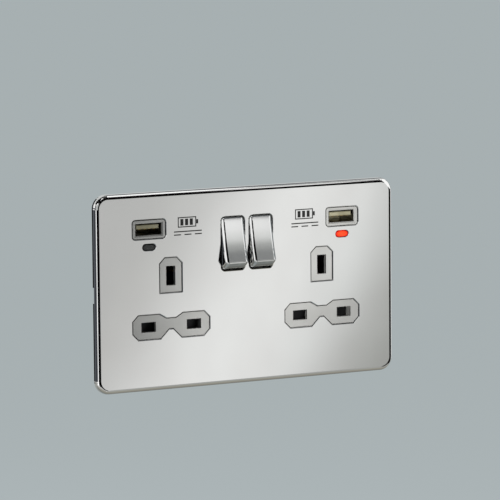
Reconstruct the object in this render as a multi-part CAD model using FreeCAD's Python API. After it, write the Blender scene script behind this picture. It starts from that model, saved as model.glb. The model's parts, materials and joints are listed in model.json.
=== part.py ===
import FreeCAD, Part
import math
import os
from FreeCAD import Vector

os.makedirs("parts", exist_ok=True)

# Frame: X to the right, Z up, Y into the wall, in millimetres.
# The origin lies on the wall, midway between the two fixing screws.
SIDES = {"left": -1, "right": 1}

# How far cutting shapes run past a body, and joined shapes run into each other
over = 1.0
root = 0.5
skin = 0.1

# Front plate: a thin polished pressing with a turned edge, pushed over the moulding
plate_margin = 13.7
plate_height = 88.0
plate_proud = 3.4
plate_sheet = 1.0
plate_corner = 6.2
rim_radius = 2.0
plate_wall_gap = 0.2
edge_break = 0.2
pad_gap = 0.25
pad_sink = 0.3
lever_notch_length = 7.0
lever_notch_depth = 1.1

# Sockets: the standard three flat pins
socket_pitch = 75.2
line_z = -15.5
pin_half_spread = 11.1
earth_rise = 22.2
slot_width = 7.05
slot_height = 4.45
earth_slot_width = 4.5
earth_slot_height = 8.65
slot_wall = 1.7
slot_relief = 0.9

# Grey pads that show through the plate, measured from a socket's line of pins
pad_half_width = 18.7
pad_half_height = 5.4
pad_chamfer = 2.65
bridge_half = 2.4
bridge_top = 3.4
bridge_ramp = 3.4
notch_half = 1.0
notch_top = -1.3
earth_pad_half = 5.35
earth_pad_low = 14.8
earth_pad_high = 30.2
earth_pad_chamfer = 2.5
pad_edge = 0.2

# Charging ports and their indicators
usb_half_spacing = 48.0
usb_z = 27.8
bezel_width = 16.5
bezel_height = 8.8
bezel_corner = 1.5
mouth_width = 12.7
mouth_height = 5.4
mouth_lead_in = 0.55
bezel_lip = 0.75
shell_inner_width = 12.5
shell_inner_height = 5.12
shell_wall = 0.3
shell_pocket_gap = 0.2
tongue_width = 11.1
tongue_thick = 1.84
tongue_headroom = 0.6
tongue_recess = 0.7
contact_strip_width = 1.0
contact_strip_thick = 0.2
contact_outer_pitch = 7.0
contact_inner_pitch = 2.0
contact_start = 0.6
tongue_root_depth = 6.0
tongue_edge = 0.3
tongue_fit = 0.05
shell_corner = 0.7
shell_end_gap = 0.1
shell_window_pitch = 5.8
shell_window_width = 2.2
shell_window_start = 4.2
shell_window_length = 1.8
indicator_z = 19.9
indicator_width = 6.6
indicator_height = 3.0
lens_gap = 0.2
lens_sink = 0.15
lens_collar = 0.8
lens_collar_gap = 0.1
lens_collar_thick = 1.0
lens_edge = 0.2
light_pipe_width = 4.2
light_pipe_height = 2.1
light_pipe_gap = 0.3

# Rockers
rocker_pitch = 13.9
rocker_z = 19.05
rocker_width = 11.3
rocker_side_gap = 0.32
rocker_tilt = 13.8
face_half = 10.3
face_reach = 6.9
face_dish = 0.35
end_slope = 24.0
skirt_low = -2.5
cap_wall = 1.0
face_corner = 1.0
rocker_corner = 1.5
pivot_back = 4.25
stub_radius = 1.45
journal_fit = 0.05
stub_notch_gap = 0.3
stub_end_gap = 0.06
carrier_fit = 0.05
carrier_back = 2.2
carrier_wall = 1.2
carrier_web_half = 3.6
carrier_end = 2.2
carrier_top = 2.4
hub_front = 3.0
hub_back = 1.6
hub_half = 2.9
well_corner = 2.0
well_clear = 0.45
cheek_thick = 1.2
cheek_depth = 7.5
cheek_half = 6.5
stem_radius = 2.75
stem_low = -6.6
plunger_radius = 1.75
plunger_bore = 1.2
bore_fit = 0.06
bore_start = -1.5
plunger_root = 1.2
plunger_reach = 9.75

# See-saw contact, knife edge and fixed contact behind each rocker
lever_clear = 0.12
lever_thick = 1.0
lever_width = 4.6
lever_up = 9.6
lever_down = 6.0
lever_tilt = 8.0
lever_corner = 1.2
button_arm = 8.0
button_radius = 1.5
button_thick = 0.6
rivet_radius = 0.9
rivet_proud = 0.25
contact_clear = 0.08
ridge_clear = 0.06
ridge_half = 1.2

# Housing behind the wall
flange_gap = 0.4
flange_seat = 0.2
nib_gap = 0.1
nib_length = 8.0
nib_rise = 0.8
housing_side = 10.3
housing_over_board = 0.4
housing_corner = 4.0
housing_wall = 1.8
split_y = 9.0
back_y = 25.0
lug_half_height = 5.0
lug_room = 7.8
back_bevel = 1.0
lip_height = 1.5
lip_thick = 0.9
lip_gap = 0.1
seat_height = 1.5
seat_bite = 0.4

# Fixing screws and their holes
fixing_pitch = 120.6
fixing_radius = 1.75
fixing_head = 3.3
fixing_length = 24.0
fixing_clear = 0.15
fixing_relief_radius = 3.1
fixing_relief_depth = 0.9

# Case screws and posts, the posts run a little into the housing's long walls
post_half_upper = 20.0
post_half_lower = 32.0
boss_radius = 2.4
boss_bite = 0.2
boss_top_y = 12.0
tube_radius = 3.0
tube_gap = 0.2
tube_boss_gap = 0.3
pilot_gap = 0.05
case_screw_radius = 1.05
case_head_radius = 2.5
case_head_y = 18.0
case_head_thick = 1.8
case_hole_gap = 0.5
case_head_gap = 0.3
case_seat_gap = 0.05
case_screw_tip_y = 5.0

# Live parts: brass strip of one thickness, in three layers
strip_thick = 1.0
strip_width = 3.6
supply_y = 12.65
live_y = 14.9
earth_y = 20.4
supply_half_height = 2.5
supply_half_length = 12.0
link_via_x = 14.6
link_via_z = -9.4
link_prop_rise = 4.0
supply_prop_x = -5.0
neutral_z = -23.5
leaf_thick = 0.8
line_mouth_y = 6.0
earth_mouth_y = 13.2
line_leaf_width = 6.0
earth_leaf_width = 7.4
line_half_gap = 1.75
earth_half_gap = 1.75
leaf_spring_out = 0.6
leaf_flare = 1.1
leaf_pinch = 0.28
clip_lap = 2.0

# Terminals along the bottom
terminal_z = -29.0
terminal_places = {"neutral": -12.0, "earth": 0.0, "live": 12.0}
block_width = 7.6
block_height = 6.0
screw_hole_gap = 0.15
screw_thread_gap = 0.05
wire_bore = 2.1
terminal_screw_radius = 1.6
terminal_head_radius = 2.5
terminal_head_thick = 1.4
terminal_head_gap = 0.1
terminal_slot_width = 0.8
terminal_slot_depth = 0.7
access_radius = 3.2
window_width = 7.2

# Shutters behind the lower pin slots
shutter_y = 2.5
shutter_thick = 1.8
shutter_half_width = 15.3
shutter_half_height = 2.75
shutter_travel = 5.3
shutter_corner = 0.8
shutter_stem_half = 2.6
shutter_arm_half = 1.5
shutter_arm_low = 12.0
shutter_stem_top = 16.2
ramp_front_y = 7.0
ramp_low = 17.6
ramp_back_y = 12.4
ramp_high = 23.0
guide_wall = 1.2
guide_gap = 0.3
guide_depth = 4.6
spring_room = 0.4
spring_offset = 0.3
spring_end_gap = 0.05
spring_wire = 0.25
spring_facets = 7
shutter_spring_radius = 1.7
shutter_spring_length = 9.0
shutter_spring_turns = 5
plunger_spring_radius = 0.85
plunger_spring_wire = 0.2
plunger_spring_turns = 5
plunger_spring_seat = 1.4
plunger_spring_end_gap = 0.1
ledge_thick = 1.2

# Charger board and what stands on it
board_y = 16.5
board_thick = 1.6
board_half_length = 54.5
board_low = 22.6
board_high = 31.8
board_drop_low = 16.6
board_drop_inner = 43.6
board_post_gap = 0.4
board_corner = 2.0
board_prop_inset = 2.5
led_width = 2.6
led_height = 1.4
led_thick = 1.0
transformer_x = -31.0
transformer_z = 26.6
transformer_width = 12.4
transformer_height = 8.0
transformer_depth = 10.5
core_half = 2.2
core_start = 2.0
bobbin_inset = 1.2
bobbin_end = 1.0
bobbin_start = 3.0
bobbin_back = 3.2
winding_corner = 2.5
winding_narrow = 4.0
winding_low = 1.2
capacitor_x = 31.0
capacitor_z = 26.8
capacitor_radius = 4.0
capacitor_length = 11.0
capacitor_edge = 0.4
prop_width = 3.0
prop_gap = 0.15

# Planes and places that follow from the sizes above
plate_width = fixing_pitch + 2 * plate_margin
housing_width = socket_pitch + 2 * (pin_half_spread + housing_side)
housing_height = 2 * (board_high + housing_over_board + housing_wall)
lug_face = fixing_pitch / 2 - lug_room
contact_places = [s * pitch / 2 for pitch in (contact_outer_pitch, contact_inner_pitch) for s in (-1, 1)]
front_y = -plate_proud
plate_back_y = front_y + plate_sheet
pad_front_y = front_y + pad_sink
flange_front_y = plate_back_y + flange_seat
pivot_y = front_y + pivot_back
rocker_half = rocker_width / 2
end_angle = math.radians(end_slope)
skirt_radius = face_half * math.cos(end_angle) + face_reach * math.sin(end_angle)
well_half_width = rocker_half + rocker_side_gap
well_half_height = skirt_radius
lever_front_y = pivot_y + plunger_reach + lever_clear
lever_axis_y = lever_front_y + lever_thick
rear_inner_y = back_y - housing_wall
block_front_y = supply_y + strip_thick
post_z = housing_height / 2 - housing_wall - boss_radius + boss_bite
post_places = [(s * post_half_upper, post_z) for s in (-1, 1)] + [(s * post_half_lower, -post_z) for s in (-1, 1)]


def box(x0, x1, y0, y1, z0, z1):
    return Part.makeBox(x1 - x0, y1 - y0, z1 - z0, Vector(x0, y0, z0))


def cell(x, z, width, height, y0, y1):
    # plain rectangle about a place, extruded into the wall
    return box(x - width / 2, x + width / 2, y0, y1, z - height / 2, z + height / 2)


def rod(x, z, radius, y0, y1):
    return Part.makeCylinder(radius, y1 - y0, Vector(x, y0, z), Vector(0, 1, 0))


def bar_x(y, z, radius, x0, x1):
    return Part.makeCylinder(radius, x1 - x0, Vector(x0, y, z), Vector(1, 0, 0))


def fuse(shapes):
    shapes = list(shapes)
    if len(shapes) == 1:
        return shapes[0]
    return shapes[0].fuse(shapes[1:]).removeSplitter()


def edges_along(shape, axis):
    found = []
    for edge in shape.Edges:
        if len(edge.Vertexes) < 2:
            continue
        run = edge.Vertexes[1].Point - edge.Vertexes[0].Point
        if run.Length > 1e-6 and abs(abs(run.normalize().dot(axis)) - 1) < 1e-6:
            found.append(edge)
    return found


def slab(x, z, width, height, corner, y0, y1):
    # rounded rectangle, extruded into the wall
    block = cell(x, z, width, height, y0, y1)
    return block.makeFillet(corner, edges_along(block, Vector(0, 1, 0)))


def stadium(x, z, width, height, y0, y1):
    half = (width - height) / 2
    ends = [rod(x + s * half, z, height / 2, y0, y1) for s in (-1, 1)]
    middle = box(x - half, x + half, y0, y1, z - height / 2, z + height / 2)
    return fuse([middle] + ends)


def outline(points, y):
    ring = [Vector(x, y, z) for x, z in points]
    return Part.makePolygon(ring + [ring[0]])


def plate_prism(points, y0, y1, grow=0.0):
    # straight-sided outline in XZ, let out by grow
    wire = outline(points, y0)
    if grow:
        wire = wire.makeOffset2D(grow, join=2)
    return Part.Face(wire).extrude(Vector(0, y1 - y0, 0))


def side_prism(points, x0, x1):
    # outline of (y, z) points, extruded across
    ring = [Vector(x0, y, z) for y, z in points]
    face = Part.Face(Part.makePolygon(ring + [ring[0]]))
    return face.extrude(Vector(x1 - x0, 0, 0))


def front_edges(shape, y, half_width=None, half_height=None):
    # edges in the plane y, optionally only those well inside an outline
    found = []
    for edge in shape.Edges:
        bounds = edge.BoundBox
        if abs(bounds.YMin - y) > 1e-4 or abs(bounds.YMax - y) > 1e-4:
            continue
        if half_width and max(-bounds.XMin, bounds.XMax) > half_width:
            continue
        if half_height and max(-bounds.ZMin, bounds.ZMax) > half_height:
            continue
        found.append(edge)
    return found


def save(name, shape):
    shape.exportStep("parts/" + name + ".step")


def socket_x(side):
    return side * socket_pitch / 2


def rocker_x(side):
    return side * rocker_pitch / 2


def lower_pad_points(side):
    low = -pad_half_height
    right = [
        (bridge_half, bridge_top),
        (bridge_half + bridge_ramp, pad_half_height),
        (pad_half_width - pad_chamfer, pad_half_height),
        (pad_half_width, pad_half_height - pad_chamfer),
        (pad_half_width, low + pad_chamfer),
        (pad_half_width - pad_chamfer, low),
        (notch_half + notch_top - low, low),
        (notch_half, notch_top),
    ]
    left = [(-x, z) for x, z in reversed(right)]
    return [(socket_x(side) + x, line_z + z) for x, z in right + left]


def earth_pad_points(side):
    right = [
        (earth_pad_half - earth_pad_chamfer, earth_pad_high),
        (earth_pad_half, earth_pad_high - earth_pad_chamfer),
        (earth_pad_half, earth_pad_low),
    ]
    left = [(-x, z) for x, z in reversed(right)]
    return [(socket_x(side) + x, line_z + z) for x, z in right + left]


def plate_openings(side, y0, y1):
    cuts = [
        plate_prism(lower_pad_points(side), y0, y1, pad_gap),
        plate_prism(earth_pad_points(side), y0, y1, pad_gap),
        slab(side * usb_half_spacing, usb_z, bezel_width, bezel_height, bezel_corner, y0, y1),
        stadium(side * usb_half_spacing, indicator_z, indicator_width, indicator_height, y0, y1),
        slab(rocker_x(side), rocker_z, 2 * well_half_width, 2 * well_half_height, well_corner, y0, y1),
    ]
    return cuts


def front_plate():
    shell = slab(0, 0, plate_width, plate_height, plate_corner, front_y, -plate_wall_gap)
    shell = shell.makeFillet(rim_radius, front_edges(shell, front_y))
    width = plate_width - 2 * plate_sheet
    height = plate_height - 2 * plate_sheet
    hollow = slab(0, 0, width, height, plate_corner - plate_sheet, plate_back_y, over)
    hollow = hollow.makeChamfer(rim_radius - plate_sheet, front_edges(hollow, plate_back_y))
    plate = shell.cut(hollow)
    for side in SIDES.values():
        plate = plate.cut(Part.makeCompound(plate_openings(side, front_y - over, plate_back_y + over)))
    inside_x = plate_width / 2 - rim_radius - pad_gap
    inside_z = plate_height / 2 - rim_radius - pad_gap
    plate = plate.makeChamfer(edge_break, front_edges(plate, front_y, inside_x, inside_z))
    notch = box(-plate_width / 2 - over, -plate_width / 2 + 2 * plate_sheet,
                -plate_wall_gap - lever_notch_depth, over, -lever_notch_length / 2, lever_notch_length / 2)
    return plate.cut(notch)


def housing_block(y0, y1, inset):
    # the outline behind the wall, stepped in where the wall box has its two lugs
    block = slab(0, 0, housing_width - 2 * inset, housing_height - 2 * inset,
                 housing_corner - inset / 2, y0, y1)
    for side in SIDES.values():
        x0, x1 = sorted((side * (lug_face - inset), side * (housing_width / 2 + over)))
        half = lug_half_height + inset
        block = block.cut(box(x0, x1, y0 - over, y1 + over, -half, half))
    return block


def flange():
    width = plate_width - 2 * plate_sheet - 2 * flange_gap
    height = plate_height - 2 * plate_sheet - 2 * flange_gap
    corner = plate_corner - plate_sheet - flange_gap
    body = slab(0, 0, width, height, corner, flange_front_y, 0)
    body = body.makeChamfer(rim_radius - plate_sheet, front_edges(body, flange_front_y))
    nibs = []
    reach = flange_gap - nib_gap
    nib_y0 = flange_front_y + rim_radius - nib_rise
    for side in (-1, 1):
        for place in (-height / 4, height / 4):
            x0, x1 = sorted((side * (width / 2 - root), side * (width / 2 + reach)))
            nibs.append(box(x0, x1, nib_y0, 0, place - nib_length / 2, place + nib_length / 2))
        for place in (-width / 4, width / 4):
            z0, z1 = sorted((side * (height / 2 - root), side * (height / 2 + reach)))
            nibs.append(box(place - nib_length / 2, place + nib_length / 2, nib_y0, 0, z0, z1))
    return fuse([body] + nibs)


def pin_slots(side, y0, y1, grow=0.0):
    # the three flat slots of a socket, let out by grow: (lower slots, earth slot)
    x = socket_x(side)
    lower = [cell(x + s * pin_half_spread, line_z, slot_width + 2 * grow, slot_height + 2 * grow, y0, y1)
             for s in (-1, 1)]
    earth_z = line_z + earth_rise
    return lower, cell(x, earth_z, earth_slot_width + 2 * grow, earth_slot_height + 2 * grow, y0, y1)


def slot_reliefs(side):
    # the face is thin round each slot: a wider pocket behind it keeps the wall short
    lower, earth = pin_slots(side, pad_front_y + slot_wall, over, slot_relief)
    return lower + [earth]


def usb_bezel(side):
    fit = 2 * pad_gap
    bezel = slab(side * usb_half_spacing, usb_z, bezel_width - fit, bezel_height - fit, bezel_corner - pad_gap,
                 pad_front_y, flange_front_y + root)
    return bezel.makeChamfer(pad_edge, front_edges(bezel, pad_front_y))


def usb_mouth(side):
    # the mouth with its sloping lead-in, and the pocket that seats the metal shell
    x = side * usb_half_spacing
    mouth = cell(x, usb_z, mouth_width, mouth_height, pad_front_y - over, over)
    lead = Part.makeLoft([
        outline(rectangle_points(x, usb_z, mouth_width + 2 * mouth_lead_in, mouth_height + 2 * mouth_lead_in),
                pad_front_y),
        outline(rectangle_points(x, usb_z, mouth_width, mouth_height), pad_front_y + mouth_lead_in),
    ], True)
    pocket = cell(x, usb_z, shell_outer_width() + 2 * shell_pocket_gap,
                  shell_outer_height() + 2 * shell_pocket_gap, pad_front_y + bezel_lip, over)
    return [mouth, lead, pocket]


def rectangle_points(x, z, width, height):
    half_w = width / 2
    half_h = height / 2
    return [(x - half_w, z - half_h), (x + half_w, z - half_h), (x + half_w, z + half_h), (x - half_w, z + half_h)]


def shell_outer_width():
    return shell_inner_width + 2 * shell_wall


def shell_outer_height():
    return shell_inner_height + 2 * shell_wall


def well_cheeks():
    # the three upright walls that carry the rockers between them
    inner = rocker_pitch / 2 - well_half_width
    outer = rocker_pitch / 2 + well_half_width
    z0 = rocker_z - cheek_half
    z1 = rocker_z + cheek_half
    cheeks = [box(-inner, inner, -root, cheek_depth, z0, z1)]
    for side in (-1, 1):
        x0, x1 = sorted((side * outer, side * (outer + cheek_thick)))
        cheeks.append(box(x0, x1, -root, cheek_depth, z0, z1))
    return cheeks


def shutter_guides(side):
    # side walls that guide a shutter's blade, and the ledge its spring stands on
    x = socket_x(side)
    z0 = line_z - shutter_half_height - shutter_travel - guide_gap
    z1 = line_z + shutter_half_height + guide_wall
    guides = []
    for s in (-1, 1):
        x0, x1 = sorted((x + s * (shutter_half_width + guide_gap),
                         x + s * (shutter_half_width + guide_gap + guide_wall)))
        guides.append(box(x0, x1, -root, guide_depth, z0, z1))
    ledge_top = line_z - shutter_half_height - shutter_spring_length
    reach = shutter_spring_radius + spring_wire + spring_room
    guides.append(box(x - reach, x + reach, -root, guide_depth, ledge_top - ledge_thick, ledge_top))
    return guides


def screw_head_cone(x, grow):
    # countersunk seat or head at a fixing place, let out by grow
    rise = fixing_head - fixing_radius
    cone = Part.makeCone(fixing_head + grow, fixing_radius + grow, rise,
                         Vector(x, flange_front_y - grow, 0), Vector(0, 1, 0))
    return cone


def face_moulding():
    pads = []
    for side in SIDES.values():
        for points in (lower_pad_points(side), earth_pad_points(side)):
            pad = plate_prism(points, pad_front_y, flange_front_y + root)
            pads.append(pad.makeChamfer(pad_edge, front_edges(pad, pad_front_y)))
        pads.append(usb_bezel(side))
    walls = housing_block(-root, split_y, 0).cut(housing_block(-over, split_y + over, housing_wall))
    bosses = [rod(x, z, boss_radius, -root, boss_top_y) for x, z in post_places]
    fitted = [guide for side in SIDES.values() for guide in shutter_guides(side)]
    body = flange().fuse([walls] + pads + bosses + well_cheeks() + fitted)
    cuts = []
    for side in SIDES.values():
        lower, earth = pin_slots(side, front_y - over, over)
        cuts += lower + [earth] + slot_reliefs(side)
        cuts += usb_mouth(side)
        cuts.append(stadium(side * usb_half_spacing, indicator_z, indicator_width, indicator_height,
                            front_y - over, over))
        reach = skirt_radius + well_clear
        cuts.append(cell(rocker_x(side), rocker_z, 2 * well_half_width, 2 * reach, front_y - over, 0))
        x = side * fixing_pitch / 2
        cuts.append(rod(x, 0, fixing_relief_radius, -fixing_relief_depth, over))
        cuts.append(screw_head_cone(x, fixing_clear))
    journal = stub_radius + journal_fit
    reach = rocker_pitch / 2 + well_half_width + cheek_thick + over
    cuts.append(bar_x(pivot_y, rocker_z, journal, -reach, reach))
    pilot = case_screw_radius + pilot_gap
    cuts += [rod(x, z, pilot, case_screw_tip_y - over, boss_top_y + over) for x, z in post_places]
    for cut in cuts:
        body = body.cut(cut)
    return body.removeSplitter()


def rear_cover():
    shell = housing_block(split_y, back_y, 0)
    shell = shell.makeChamfer(back_bevel, front_edges(shell, back_y))
    shell = shell.cut(housing_block(split_y - over, rear_inner_y, housing_wall))
    outer = housing_wall + lip_gap
    hollow = housing_block(split_y - lip_height - over, split_y + seat_height + over, outer + lip_thick)
    lip = housing_block(split_y - lip_height, split_y + root, outer).cut(hollow)
    seat = housing_block(split_y, split_y + seat_height, housing_wall - seat_bite).cut(hollow)
    tubes = [rod(x, z, tube_radius, boss_top_y + tube_gap, back_y - root) for x, z in post_places]
    cover = shell.fuse([lip, seat] + tubes + rear_props())
    for x, z in post_places:
        cover = cover.cut(rod(x, z, boss_radius + tube_boss_gap, 0, boss_top_y + tube_gap))
        cover = cover.cut(rod(x, z, case_screw_radius + case_hole_gap, 0, back_y + over))
        cover = cover.cut(rod(x, z, case_head_radius + case_head_gap, case_head_y, back_y + over))
    for x in terminal_places.values():
        cover = cover.cut(rod(x, terminal_z, access_radius, rear_inner_y - over, back_y + over))
        cover = cover.cut(box(x - window_width / 2, x + window_width / 2, block_front_y, earth_y,
                              -housing_height / 2 - over, -housing_height / 2 + housing_wall + over))
    return cover.removeSplitter()


def rear_props():
    # pegs on the back wall that bear on the brass strips and on the board
    places = [(supply_prop_x, rocker_z - supply_half_height + prop_width / 2, supply_y + strip_thick)]
    for side in SIDES.values():
        places += [
            (side * link_via_x, link_via_z + link_prop_rise, live_y + strip_thick),
            (socket_x(side) * 2 / 3, line_z + earth_rise, earth_y + strip_thick),
            (side * (board_half_length - board_prop_inset), usb_z, board_y + board_thick),
        ]
    places.append((socket_x(-1), neutral_z, live_y + strip_thick))
    places.append((socket_x(1) / 2, neutral_z, live_y + strip_thick))
    return [cell(x, z, prop_width, prop_width, seat + prop_gap, back_y - root) for x, z, seat in places]


def rocker_profile(inset):
    # (along, out) outline about the pivot: dished face, sloping ends that run on into the skirts' arc
    radius = skirt_radius - inset
    high = face_reach - inset
    corner = (radius - high * math.sin(end_angle)) / math.cos(end_angle)
    low_angle = math.asin(skirt_low / radius)
    mid_angle = (end_angle + low_angle) / 2

    def place(along, out):
        return Vector(0, pivot_y - out, rocker_z + along)

    def on_skirt(angle, end):
        return place(end * radius * math.cos(angle), radius * math.sin(angle))

    edges = [
        Part.LineSegment(on_skirt(low_angle, -1), on_skirt(low_angle, 1)).toShape(),
        Part.Arc(on_skirt(low_angle, 1), on_skirt(mid_angle, 1), on_skirt(end_angle, 1)).toShape(),
        Part.LineSegment(on_skirt(end_angle, 1), place(corner, high)).toShape(),
        Part.Arc(place(corner, high), place(0, high - face_dish), place(-corner, high)).toShape(),
        Part.LineSegment(place(-corner, high), on_skirt(end_angle, -1)).toShape(),
        Part.Arc(on_skirt(end_angle, -1), on_skirt(mid_angle, -1), on_skirt(low_angle, -1)).toShape(),
    ]
    return Part.Face(Part.Wire(edges))


def tilt_rocker(shape, x):
    shape.translate(Vector(x, 0, 0))
    shape.rotate(Vector(0, pivot_y, rocker_z), Vector(1, 0, 0), -rocker_tilt)
    return shape


def across(face, half):
    face.translate(Vector(-half, 0, 0))
    return face.extrude(Vector(2 * half, 0, 0))


def rocker_cap(side):
    outer = across(rocker_profile(0), rocker_half)
    face_corners = [edge for edge in edges_along(outer, Vector(1, 0, 0))
                    if edge.CenterOfMass.y < pivot_y - face_reach + skin]
    outer = outer.makeFillet(face_corner, face_corners)
    sides = [edge for edge in outer.Edges
             if edge.BoundBox.XLength < 1e-6 and edge.CenterOfMass.y < pivot_y - skirt_low - skin]
    outer = outer.makeFillet(rocker_corner, sides)
    cap = outer.cut(across(rocker_profile(cap_wall), rocker_half - cap_wall))
    floor_y = pivot_y - skirt_low
    cap = cap.cut(cell(0, rocker_z, 2 * (rocker_half - cap_wall), 2 * (skirt_radius - cap_wall),
                       floor_y - cap_wall - root, floor_y + over))
    notch_out = stub_radius + stub_notch_gap
    notch = cell(0, rocker_z, 2 * (rocker_half + over), 2 * notch_out, pivot_y, floor_y + over)
    cap = cap.cut(notch).cut(bar_x(pivot_y, rocker_z, notch_out, -rocker_half - over, rocker_half + over))
    return tilt_rocker(cap, rocker_x(side))


def rocker_carrier(side):
    inner_half = rocker_half - cap_wall - carrier_fit
    inner = across(rocker_profile(cap_wall + carrier_fit), inner_half)
    keep = cell(0, rocker_z, rocker_width, 2 * skirt_radius, pivot_y - face_reach, pivot_y - carrier_back)
    body = inner.common(keep)
    pocket_half = inner_half - carrier_wall
    for s in (-1, 1):
        z0, z1 = sorted((rocker_z + s * carrier_web_half, rocker_z + s * (face_half - carrier_end)))
        body = body.cut(box(-pocket_half, pocket_half, pivot_y - face_reach + carrier_top, pivot_y, z0, z1))
    hub = cell(0, rocker_z, 2 * inner_half, 2 * hub_half, pivot_y - hub_front, pivot_y + hub_back)
    reach = rocker_pitch / 2 - stub_end_gap
    stubs = bar_x(pivot_y, rocker_z, stub_radius, -reach, reach)
    stem = rod(0, rocker_z, stem_radius, pivot_y, pivot_y - stem_low)
    body = body.fuse([hub, stubs, stem])
    bore = rod(0, rocker_z, plunger_radius + bore_fit, pivot_y + bore_start, pivot_y - stem_low + over)
    return tilt_rocker(body.cut(bore).removeSplitter(), rocker_x(side))


def plunger(side):
    rear_y = pivot_y + plunger_root
    tip_y = pivot_y + plunger_reach
    body = rod(0, rocker_z, plunger_radius, rear_y, tip_y - plunger_radius)
    nose = Part.makeSphere(plunger_radius, Vector(0, tip_y - plunger_radius, rocker_z))
    bore = rod(0, rocker_z, plunger_bore, rear_y - over, tip_y - 2 * plunger_radius)
    return tilt_rocker(body.fuse(nose).cut(bore).removeSplitter(), rocker_x(side))


def coil_spring(radius, wire, length, turns):
    # a coil of square wire along +Z from the origin, its turns drawn with flat facets
    steps = turns * spring_facets
    rings = []
    for i in range(steps + 1):
        angle = 2 * math.pi * i / spring_facets
        middle = wire + (length - 2 * wire) * i / steps
        rings.append([Vector((radius + out) * math.cos(angle), (radius + out) * math.sin(angle), middle + up)
                      for out, up in ((-wire, -wire), (wire, -wire), (wire, wire), (-wire, wire))])
    faces = [Part.Face(Part.makePolygon(ring + [ring[0]])) for ring in (rings[0], rings[-1])]
    for ring, following in zip(rings, rings[1:]):
        for j in range(4):
            k = (j + 1) % 4
            for corners in ((ring[j], ring[k], following[k]), (ring[j], following[k], following[j])):
                faces.append(Part.Face(Part.makePolygon(list(corners) + [corners[0]])))
    spring = Part.makeSolid(Part.makeShell(faces))
    return spring if spring.Volume > 0 else spring.reversed()


def plunger_spring(side):
    length = plunger_reach - 2 * plunger_radius - plunger_spring_seat - plunger_spring_end_gap
    spring = coil_spring(plunger_spring_radius, plunger_spring_wire, length, plunger_spring_turns)
    spring.rotate(Vector(0, 0, 0), Vector(1, 0, 0), -90)
    spring.translate(Vector(0, pivot_y + plunger_spring_seat, rocker_z))
    return tilt_rocker(spring, rocker_x(side))


def contact_lever(side):
    x = rocker_x(side)
    half = lever_width / 2
    bar = box(x - half, x + half, lever_front_y, lever_axis_y, rocker_z - lever_down, rocker_z + lever_up)
    bar = bar.makeFillet(lever_corner, edges_along(bar, Vector(0, 1, 0)))
    z = rocker_z + button_arm
    button = rod(x, z, button_radius, lever_axis_y - skin, lever_axis_y + button_thick)
    rivet = rod(x, z, rivet_radius, lever_front_y - rivet_proud, lever_front_y + skin)
    lever = fuse([bar, button, rivet])
    lever.rotate(Vector(0, lever_axis_y, rocker_z), Vector(1, 0, 0), lever_tilt)
    return lever


def strip(points, width, y0):
    # flat brass strip through (x, z) points, its corners square
    half = width / 2
    runs = []
    for (xa, za), (xb, zb) in zip(points, points[1:]):
        x0, x1 = sorted((xa, xb))
        z0, z1 = sorted((za, zb))
        runs.append(box(x0 - half, x1 + half, y0, y0 + strip_thick, z0 - half, z1 + half))
    return runs


def supply_bar():
    y1 = supply_y + strip_thick
    z0 = rocker_z - supply_half_height
    x0 = terminal_places["live"] - strip_width / 2
    x1 = terminal_places["live"] + strip_width / 2
    rail = box(-supply_half_length, x1, supply_y, y1, z0, rocker_z + supply_half_height)
    tail = box(x0, x1, supply_y, y1, terminal_z - block_height / 2, z0 + root)
    apex = lever_axis_y + ridge_clear
    ridges = []
    for side in SIDES.values():
        x = rocker_x(side)
        points = [(apex, rocker_z), (supply_y + skin, rocker_z - ridge_half), (supply_y + skin, rocker_z + ridge_half)]
        ridges.append(side_prism(points, x - lever_width / 2, x + lever_width / 2))
    return fuse([rail, tail] + ridges)


def leaf_points(y_mouth, y_web, half_gap):
    # one sprung leaf from its root at the web to its flared mouth, as (y, across)
    pinch_y = y_mouth + leaf_pinch * (y_web - y_mouth)
    inner = [(y_web, half_gap + leaf_spring_out), (pinch_y, half_gap), (y_mouth, half_gap + leaf_flare)]
    return inner + [(y, a + leaf_thick) for y, a in reversed(inner)]


def pin_clip(x, z, y_mouth, y_web, half_gap, width, upright):
    # two leaves joined by a web; upright leaves stand left and right of the pin
    leaf = side_prism(leaf_points(y_mouth, y_web, half_gap), -width / 2, width / 2)
    other = leaf.mirror(Vector(0, 0, 0), Vector(0, 0, 1))
    reach = half_gap + leaf_spring_out + leaf_thick
    web = box(-width / 2, width / 2, y_web, y_web + strip_thick, -reach, reach)
    clip = fuse([leaf, other, web])
    if upright:
        clip.rotate(Vector(0, 0, 0), Vector(0, 1, 0), 90)
    clip.translate(Vector(x, 0, z))
    return clip


def live_link(side):
    z_contact = rocker_z + button_arm * math.cos(math.radians(lever_tilt))
    x_pin = socket_x(side) + pin_half_spread
    route = [(rocker_x(side), z_contact), (side * link_via_x, z_contact), (side * link_via_x, link_via_z),
             (x_pin, link_via_z), (x_pin, line_z + clip_lap)]
    swing = math.sin(math.radians(lever_tilt))
    face_y = lever_axis_y + (button_arm + button_radius) * swing + button_thick + contact_clear
    button = rod(rocker_x(side), z_contact, button_radius, face_y, live_y + skin)
    clip = pin_clip(x_pin, line_z, line_mouth_y, live_y, line_half_gap, line_leaf_width, False)
    return fuse(strip(route, strip_width, live_y) + [button, clip])


def neutral_strap():
    places = [socket_x(side) - pin_half_spread for side in (-1, 1)]
    shapes = []
    for x in places:
        shapes.append(pin_clip(x, line_z, line_mouth_y, live_y, line_half_gap, line_leaf_width, False))
        shapes += strip([(x, line_z - clip_lap), (x, neutral_z)], strip_width, live_y)
    shapes += strip([(places[0], neutral_z), (places[1], neutral_z)], strip_width, live_y)
    x = terminal_places["neutral"]
    shapes.append(box(x - strip_width / 2, x + strip_width / 2, live_y, live_y + strip_thick,
                      terminal_z + block_height / 2, neutral_z))
    return fuse(shapes)


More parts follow.
